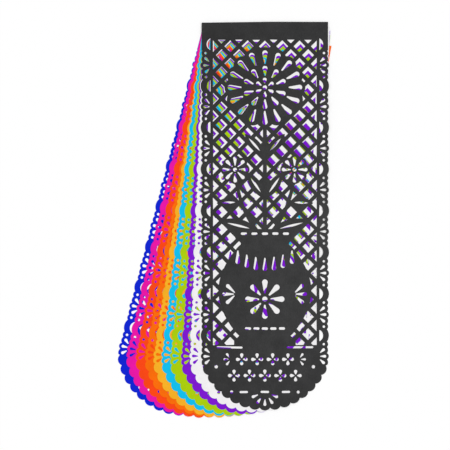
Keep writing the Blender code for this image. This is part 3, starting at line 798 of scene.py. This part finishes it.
# How fine along the sheet's x, y and z, how fine in all, detail, and how far the fibres curl
CLOUDS = ((1.0, 1.0, 1.0), 30.0, 6.0, 0.0)
FIBRES = ((1.0, 0.22, 1.0), 1100.0, 4.0, 0.5)
TOOTH = ((1.0, 0.6, 1.0), 2400.0, 2.0, 0.0)
STRAY_FIBRES = ((0.3, 1.0, 1.0), 1300.0, 2.0, 0.9)
COARSENESS = 0.6
FLECK_FROM = 0.66  # of the stray fibres' noise, where a fleck begins
FLECK_FULL = 0.78
FLECKS = 0.12  # how far a fleck hides the dye
PALE_FIBRE = (0.62, 0.60, 0.56, 1.0)
# How much each adds to the bump
CLOUD_HEIGHT = 0.9
FIBRE_HEIGHT = 0.6
TOOTH_HEIGHT = 0.5
BUMP_DEPTH = 0.0002
FACE_BUMP = 0.6
EDGE_BUMP = 0.9
EDGE_PALER = 0.12  # share of the way from the dye to white
# Where a painted sheen makes a sheet paler, from the point that the fan turns about
PAINTED_SHEEN_MIDDLE = (0.20, -0.41)
PAINTED_SHEEN_REACH = (0.30, 0.57)
# Linear colours
DYES = {
    "black": (0.0308, 0.0308, 0.0313),
    "white": (0.875, 0.865, 0.875),
    "purple": (0.20, 0.008, 0.61),
    "lime": (0.40, 0.61, 0.002),
    "cyan": (0.004, 0.51, 0.83),
    "amber": (0.91, 0.43, 0.018),
    "orange": (0.94, 0.15, 0.001),
    "vermilion": (0.94, 0.063, 0.006),
    "magenta": (0.80, 0.007, 0.37),
    "blue": (0.003, 0.017, 0.62),
}
# How strongly a sheet's clouding, fibres and painted sheen in its middle show. Black hides them least.
MARKS_AND_SHEEN = (0.26, 0.26, 0.0)
BLACK_MARKS_AND_SHEEN = (1.0, 0.9, 0.5)


def paper_surface():
    """Node group: dyed craft paper. Clouding, fibres and flecks vary its colour, roughness and height, and
    a painted sheen lightens its middle.
    """
    group = bpy.data.node_groups.new("paper_surface", "ShaderNodeTree")
    for name in ("Dye", "Undyed"):
        group.interface.new_socket(name, in_out="INPUT", socket_type="NodeSocketColor")
    for name in ("Batch", "Turn", "Clouding", "Fibre", "Flecks", "Painted_sheen", "Roughness"):
        group.interface.new_socket(name, in_out="INPUT", socket_type="NodeSocketFloat")
    group.interface.new_socket("Colour", in_out="OUTPUT", socket_type="NodeSocketColor")
    for name in ("Roughness", "Height"):
        group.interface.new_socket(name, in_out="OUTPUT", socket_type="NodeSocketFloat")
    nodes, links = group.nodes, group.links
    given = nodes.new("NodeGroupInput")
    out = nodes.new("NodeGroupOutput")
    place = nodes.new("ShaderNodeTexCoord")
    along_sheet = nodes.new("ShaderNodeVectorRotate")
    along_sheet.rotation_type = "Z_AXIS"
    links.new(place.outputs["Object"], along_sheet.inputs["Vector"])
    links.new(given.outputs["Turn"], along_sheet.inputs["Angle"])

    def noise(stretch, scale, detail, curl):
        mapping = nodes.new("ShaderNodeMapping")
        mapping.inputs["Scale"].default_value = stretch
        texture = nodes.new("ShaderNodeTexNoise")
        texture.noise_dimensions = "4D"
        texture.inputs["Scale"].default_value = scale
        texture.inputs["Detail"].default_value = detail
        texture.inputs["Roughness"].default_value = COARSENESS
        texture.inputs["Distortion"].default_value = curl
        links.new(along_sheet.outputs["Vector"], mapping.inputs["Vector"])
        links.new(mapping.outputs["Vector"], texture.inputs["Vector"])
        links.new(given.outputs["Batch"], texture.inputs["W"])
        return texture.outputs["Fac"]

    def maths(operation, a, b):
        node = nodes.new("ShaderNodeMath")
        node.operation = operation
        for socket, value in zip(node.inputs, (a, b)):
            if isinstance(value, (int, float)):
                socket.default_value = value
            else:
                links.new(value, socket)
        return node.outputs["Value"]

    def about_one(value, amount):
        return maths("ADD", maths("MULTIPLY", maths("SUBTRACT", value, 0.5), amount), 1.0)

    # Tone: thicker and thinner places, fibres, and a painted sheen that lightens the middle
    cloud, fibre, tooth, stray = (noise(*values) for values in (CLOUDS, FIBRES, TOOTH, STRAY_FIBRES))
    tone = about_one(cloud, given.outputs["Clouding"])
    for grain in (fibre, tooth):
        tone = maths("MULTIPLY", tone, about_one(grain, given.outputs["Fibre"]))
    # The painted sheen: a round patch of lighter colour standing in for glare on the sheet
    sheen_place = nodes.new("ShaderNodeMapping")
    sheen_place.vector_type = "TEXTURE"
    sheen_place.inputs["Location"].default_value = (*PAINTED_SHEEN_MIDDLE, 0.0)
    sheen_place.inputs["Scale"].default_value = (*PAINTED_SHEEN_REACH, 1.0)
    painted_sheen = nodes.new("ShaderNodeTexGradient")
    painted_sheen.gradient_type = "SPHERICAL"
    links.new(along_sheet.outputs["Vector"], sheen_place.inputs["Vector"])
    links.new(sheen_place.outputs["Vector"], painted_sheen.inputs["Vector"])
    sheen = maths("MULTIPLY", painted_sheen.outputs["Fac"], given.outputs["Painted_sheen"])
    tone = maths("MULTIPLY", tone, maths("ADD", sheen, 1.0))
    shade = nodes.new("ShaderNodeHueSaturation")
    links.new(tone, shade.inputs["Value"])
    links.new(given.outputs["Dye"], shade.inputs["Color"])
    # The flecks lie over the dye
    fleck = nodes.new("ShaderNodeMapRange")
    fleck.inputs["From Min"].default_value = FLECK_FROM
    fleck.inputs["From Max"].default_value = FLECK_FULL
    links.new(stray, fleck.inputs["Value"])
    links.new(given.outputs["Flecks"], fleck.inputs["To Max"])
    blend = nodes.new("ShaderNodeMix")
    blend.data_type = "RGBA"
    links.new(fleck.outputs["Result"], blend.inputs["Factor"])
    links.new(shade.outputs["Color"], blend.inputs["A"])
    links.new(given.outputs["Undyed"], blend.inputs["B"])
    links.new(blend.outputs["Result"], out.inputs["Colour"])
    # Fibres roughen the paper, and they stand up with the clouds and the tooth
    rough = maths("MULTIPLY", given.outputs["Roughness"], about_one(fibre, ROUGHNESS_SPREAD))
    links.new(rough, out.inputs["Roughness"])
    height = maths("ADD", maths("MULTIPLY", fibre, FIBRE_HEIGHT), maths("MULTIPLY", cloud, CLOUD_HEIGHT))
    height = maths("ADD", height, maths("MULTIPLY", tooth, TOOTH_HEIGHT))
    links.new(height, out.inputs["Height"])
    return group


surface_group = paper_surface()


def paper(name, batch, turn, paler, bump):
    """A paper material: the group's colour, roughness and height on a plain shader."""
    material = bpy.data.materials.new(name)
    material.use_nodes = True
    nodes, links = material.node_tree.nodes, material.node_tree.links
    shader = nodes["Principled BSDF"]
    shader.inputs["Specular IOR Level"].default_value = SPECULAR
    surface = nodes.new("ShaderNodeGroup")
    surface.node_tree = surface_group
    dye = DYES[name.split("_")[0]]
    # The third mark is the painted sheen, which only the black sheet gets
    clouding, fibre, painted_sheen = BLACK_MARKS_AND_SHEEN if name.startswith("black") else MARKS_AND_SHEEN
    for socket, value in (
        ("Dye", (*(value + paler * (1 - value) for value in dye), 1.0)),
        ("Undyed", PALE_FIBRE),
        ("Batch", batch),
        ("Turn", turn),
        ("Clouding", clouding),
        ("Fibre", fibre),
        ("Flecks", FLECKS),
        ("Painted_sheen", painted_sheen),
        ("Roughness", ROUGHNESS),
    ):
        surface.inputs[socket].default_value = value
    bumps = nodes.new("ShaderNodeBump")
    bumps.inputs["Strength"].default_value = bump
    bumps.inputs["Distance"].default_value = BUMP_DEPTH
    links.new(surface.outputs["Colour"], shader.inputs["Base Color"])
    links.new(surface.outputs["Roughness"], shader.inputs["Roughness"])
    links.new(surface.outputs["Height"], bumps.inputs["Height"])
    links.new(bumps.outputs["Normal"], shader.inputs["Normal"])
    return material


# The ten sheets: one colour each, blue on the table and black on top, all cut through with the same
# pattern. Nothing holds them but their own weight. The string for the header comes later.

SHARP_EDGE = math.radians(40)


def sheet_mesh(name, turn, slide, heights):
    """The cut pattern as a solid sheet, turned and slid about the pivot, and lying at these heights."""
    across, up = (flat_points - np.array(PIVOT)).T
    cos, sin = math.cos(turn), math.sin(turn)
    x, y = slide[0] + cos * across + sin * up, slide[1] + cos * up - sin * across
    z = sampled(heights, x, y)
    count = len(flat_points)
    points = np.vstack((np.column_stack((x, y, z)), np.column_stack((x, y, z + PAPER_THICKNESS))))
    faces = (flat_triangles + count).tolist() + flat_triangles[:, ::-1].tolist()
    walls = [(a, b, b + count, a + count) for a, b in rim_edges.tolist()]
    mesh = bpy.data.meshes.new(name)
    mesh.from_pydata(points.tolist(), [], faces + walls)
    mesh.polygons.foreach_set("material_index", [0] * len(faces) + [1] * len(walls))
    mesh.shade_smooth()
    mesh.set_sharp_from_angle(angle=SHARP_EDGE)
    return mesh


for batch, ((name, degrees, slide), heights) in enumerate(zip(FAN, settled())):
    turn = math.radians(degrees)
    mesh = sheet_mesh(f"{name}_sheet", turn, slide, heights)
    mesh.materials.append(paper(f"{name}_paper", batch, turn, 0.0, FACE_BUMP))
    mesh.materials.append(paper(f"{name}_cut_edge", batch, turn, EDGE_PALER, EDGE_BUMP))
    sheet = bpy.data.objects.new(f"{name}_sheet", mesh)
    bpy.context.scene.collection.objects.link(sheet)
    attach(sheet, "root")
    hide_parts(f"sheet_{name}")


# Table, light and camera: a white table under plain soft light, seen from straight above. The table
# keeps the sheets' shadows, and what looks at it or is mirrored sees it as pure white.

TABLE_SIZE = 8.0
TABLE_ALBEDO = 0.8
WORLD_STRENGTH = 0.6
SUN_STRENGTH = 1.45
SUN_TILT = math.radians(30)
SUN_WAY = math.radians(125)
SUN_SOFTNESS = math.radians(35)
VIEW_CENTRE = (0.0353, -0.3784)
VIEW_WIDTH = 0.8765
LENS = 85.0
SENSOR = 36.0
PACK_MIDDLE = 0.002  # above the table


def seen_mask(nodes, links):
    """1 where the camera looks straight at a thing, or sees it mirrored or through glass."""
    path = nodes.new("ShaderNodeLightPath")
    mask = path.outputs["Is Camera Ray"]
    for ray in ("Is Glossy Ray", "Is Transmission Ray"):
        either = nodes.new("ShaderNodeMath")
        either.operation = "MAXIMUM"
        links.new(mask, either.inputs[0])
        links.new(path.outputs[ray], either.inputs[1])
        mask = either.outputs["Value"]
    return mask


table = bmesh.new()
bmesh.ops.create_grid(table, x_segments=1, y_segments=1, size=TABLE_SIZE / 2)
table_mesh = bpy.data.meshes.new("table")
table.to_mesh(table_mesh)
table.free()
floor = bpy.data.objects.new("table", table_mesh)
bpy.context.scene.collection.objects.link(floor)
white = bpy.data.materials.new("table_white")
white.use_nodes = True
nodes, links = white.node_tree.nodes, white.node_tree.links
nodes.clear()
tone = nodes.new("ShaderNodeMix")
tone.data_type = "RGBA"
tone.inputs["A"].default_value = (TABLE_ALBEDO, TABLE_ALBEDO, TABLE_ALBEDO, 1.0)
tone.inputs["B"].default_value = (1.0, 1.0, 1.0, 1.0)
links.new(seen_mask(nodes, links), tone.inputs["Factor"])
diffuse = nodes.new("ShaderNodeBsdfDiffuse")
links.new(tone.outputs["Result"], diffuse.inputs["Color"])
output = nodes.new("ShaderNodeOutputMaterial")
links.new(diffuse.outputs["BSDF"], output.inputs["Surface"])
floor.data.materials.append(white)

world = bpy.data.worlds.new("studio")
world.use_nodes = True
nodes, links = world.node_tree.nodes, world.node_tree.links
nodes["Background"].inputs["Color"].default_value = (1.0, 1.0, 1.0, 1.0)
strength = nodes.new("ShaderNodeMapRange")
strength.inputs["To Min"].default_value = WORLD_STRENGTH
strength.inputs["To Max"].default_value = 1.0
links.new(seen_mask(nodes, links), strength.inputs["Value"])
links.new(strength.outputs["Result"], nodes["Background"].inputs["Strength"])
bpy.context.scene.world = world

sun = bpy.data.objects.new("sun", bpy.data.lights.new("sun", "SUN"))
sun.data.energy = SUN_STRENGTH
sun.data.angle = SUN_SOFTNESS
sun.rotation_euler = (SUN_TILT, 0.0, SUN_WAY)
bpy.context.scene.collection.objects.link(sun)

camera = bpy.data.objects.new("camera", bpy.data.cameras.new("camera"))
camera.data.lens = LENS
camera.data.sensor_width = SENSOR
camera.location = (*VIEW_CENTRE, VIEW_WIDTH * LENS / SENSOR + PACK_MIDDLE)
bpy.context.scene.collection.objects.link(camera)
bpy.context.scene.camera = camera
bpy.context.scene.view_settings.view_transform = "Standard"
